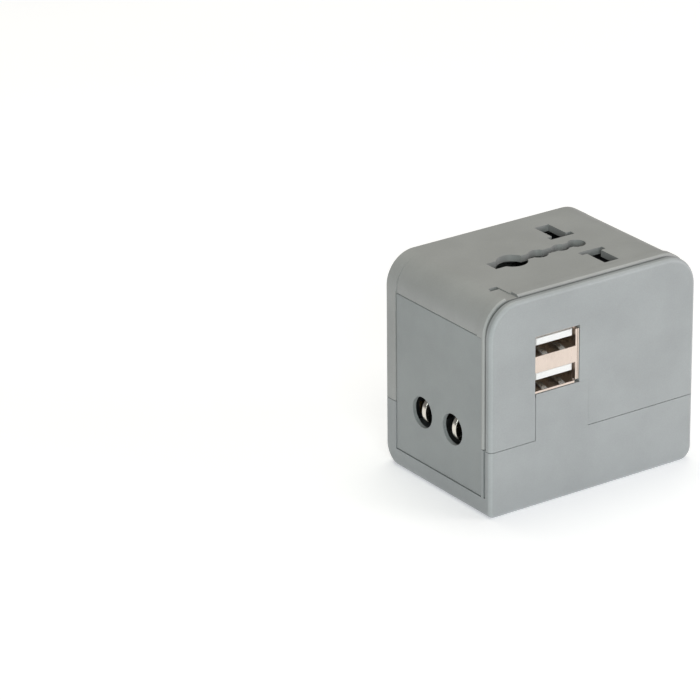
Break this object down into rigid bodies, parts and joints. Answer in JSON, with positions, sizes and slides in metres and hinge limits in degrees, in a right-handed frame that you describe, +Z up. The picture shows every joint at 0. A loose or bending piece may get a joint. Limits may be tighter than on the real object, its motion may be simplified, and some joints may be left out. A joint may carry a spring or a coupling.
{
  "type": "universal travel adapter",
  "caption": "Box-shaped grey travel plug adapter: universal socket on top, stacked USB ports in front, sliding flat and round plug pins in its sides, fold-out pins beneath.",
  "frame": {"origin": "middle of the underside, at the centre of the plan rectangle", "axes": "+X to the right along the front (USB) face, +Y to the back, +Z up through the top socket"},
  "size_m": [0.0636, 0.0446, 0.0565],
  "materials": {
    "housing_plastic": "fine satin moulded grey ABS",
    "frame_plastic": "moulded black polycarbonate",
    "socket_plastic": "moulded dark grey polycarbonate",
    "sleeve_plastic": "black insulating sleeve",
    "contact_brass": "pressed strip",
    "plated_pins": "nickel plated brass",
    "steel": "zinc plated steel",
    "spring_steel": "drawn spring wire and strip",
    "usb_metal": "tinned pressed shell",
    "usb_insulator": "white insulator",
    "usb_contact_metal": "plated contacts",
    "board_laminate": "green solder mask",
    "ferrite": "sintered ferrite",
    "copper_wire": "enamelled winding",
    "can_sleeve": "heat-shrunk can sleeve",
    "chip_epoxy": "moulded epoxy",
    "fuse_ceramic": "ceramic tube",
    "fuse_cap_metal": "plated caps"
  },
  "bodies": {
    "housing": {"top_shell": "housing_plastic", "front_cover": "housing_plastic", "base_shell": "housing_plastic", "left_panel": "housing_plastic", "right_panel": "housing_plastic", "housing_screws": "steel", "inner_frame": "frame_plastic", "socket_block": "socket_plastic", "line_contact": "contact_brass", "neutral_contact": "contact_brass", "earth_contact": "contact_brass", "line_bus_bar": "contact_brass", "neutral_bus_bar": "contact_brass", "shutter_springs": "spring_steel", "usb_shell": "usb_metal", "usb_upper_tongue": "usb_insulator", "usb_lower_tongue": "usb_insulator", "usb_contacts": "usb_contact_metal", "usb_grip_springs": "spring_steel", "charger_board": "board_laminate", "transformer_core": "ferrite", "transformer_winding": "copper_wire", "input_capacitor": "can_sleeve", "output_capacitor": "can_sleeve", "charger_chip": "chip_epoxy", "fuse_tube": "fuse_ceramic", "fuse_caps": "fuse_cap_metal", "fuse_clips": "steel", "fuse_holder": "frame_plastic", "uk_axles": "steel"},
    "shutter": {"socket_shutter": "socket_plastic"},
    "us_plug": {"us_carriage": "frame_plastic", "us_wipers": "contact_brass", "us_knob_spring": "spring_steel"},
    "us_knob": {"us_slide_knob": "housing_plastic"},
    "us_front_prong": {"us_front_rotor": "socket_plastic", "us_front_blade": "plated_pins"},
    "us_back_prong": {"us_back_rotor": "socket_plastic", "us_back_blade": "plated_pins"},
    "eu_plug": {"eu_carriage": "frame_plastic", "eu_pins": "plated_pins", "eu_pin_sleeves": "sleeve_plastic", "eu_wipers": "contact_brass", "eu_knob_spring": "spring_steel"},
    "eu_knob": {"eu_slide_knob": "housing_plastic"},
    "uk_line_prong": {"uk_line_pin": "plated_pins", "uk_line_sleeve": "sleeve_plastic"},
    "uk_neutral_prong": {"uk_neutral_pin": "plated_pins", "uk_neutral_sleeve": "sleeve_plastic"},
    "uk_earth_prong": {"uk_earth_pin": "plated_pins"}
  },
  "joints": [
    {"name": "us_plug_slide", "type": "slide", "parent": "housing", "child": "us_plug", "axis": [-1, 0, 0], "range_m": [0, 0.0183]},
    {"name": "us_knob_press", "type": "slide", "parent": "us_plug", "child": "us_knob", "axis": [0, -1, 0], "range_m": [0, 0.0008], "stiffness_N_per_m": 600, "springref_m": -0.001, "deforming": ["us_knob_spring"]},
    {"name": "us_front_twist", "type": "hinge", "parent": "us_plug", "child": "us_front_prong", "pos_m": [-0.01155, -0.00635, 0.0188], "axis": [-1, 0, 0], "range_deg": [0, 30]},
    {"name": "us_back_twist", "type": "hinge", "parent": "us_plug", "child": "us_back_prong", "pos_m": [-0.01155, 0.00635, 0.0188], "axis": [1, 0, 0], "range_deg": [0, 30]},
    {"name": "eu_plug_slide", "type": "slide", "parent": "housing", "child": "eu_plug", "axis": [1, 0, 0], "range_m": [0, 0.019]},
    {"name": "eu_knob_press", "type": "slide", "parent": "eu_plug", "child": "eu_knob", "axis": [0, -1, 0], "range_m": [0, 0.0008], "stiffness_N_per_m": 600, "springref_m": -0.001, "deforming": ["eu_knob_spring"]},
    {"name": "uk_line_fold", "type": "hinge", "parent": "housing", "child": "uk_line_prong", "pos_m": [0.00805, 0.0111, 0.0055], "axis": [0, -1, 0], "range_deg": [0, 90]},
    {"name": "uk_neutral_fold", "type": "hinge", "parent": "housing", "child": "uk_neutral_prong", "pos_m": [0.00805, -0.0111, 0.0055], "axis": [0, -1, 0], "range_deg": [0, 90]},
    {"name": "uk_earth_fold", "type": "hinge", "parent": "housing", "child": "uk_earth_prong", "pos_m": [-0.00825, 0, 0.007], "axis": [0, 1, 0], "range_deg": [0, 90]},
    {"name": "shutter_slide", "type": "slide", "parent": "housing", "child": "shutter", "axis": [1, 0, 0], "range_m": [0, 0.0097], "stiffness_N_per_m": 120, "springref_m": -0.006, "deforming": ["shutter_springs"]}
  ]
}
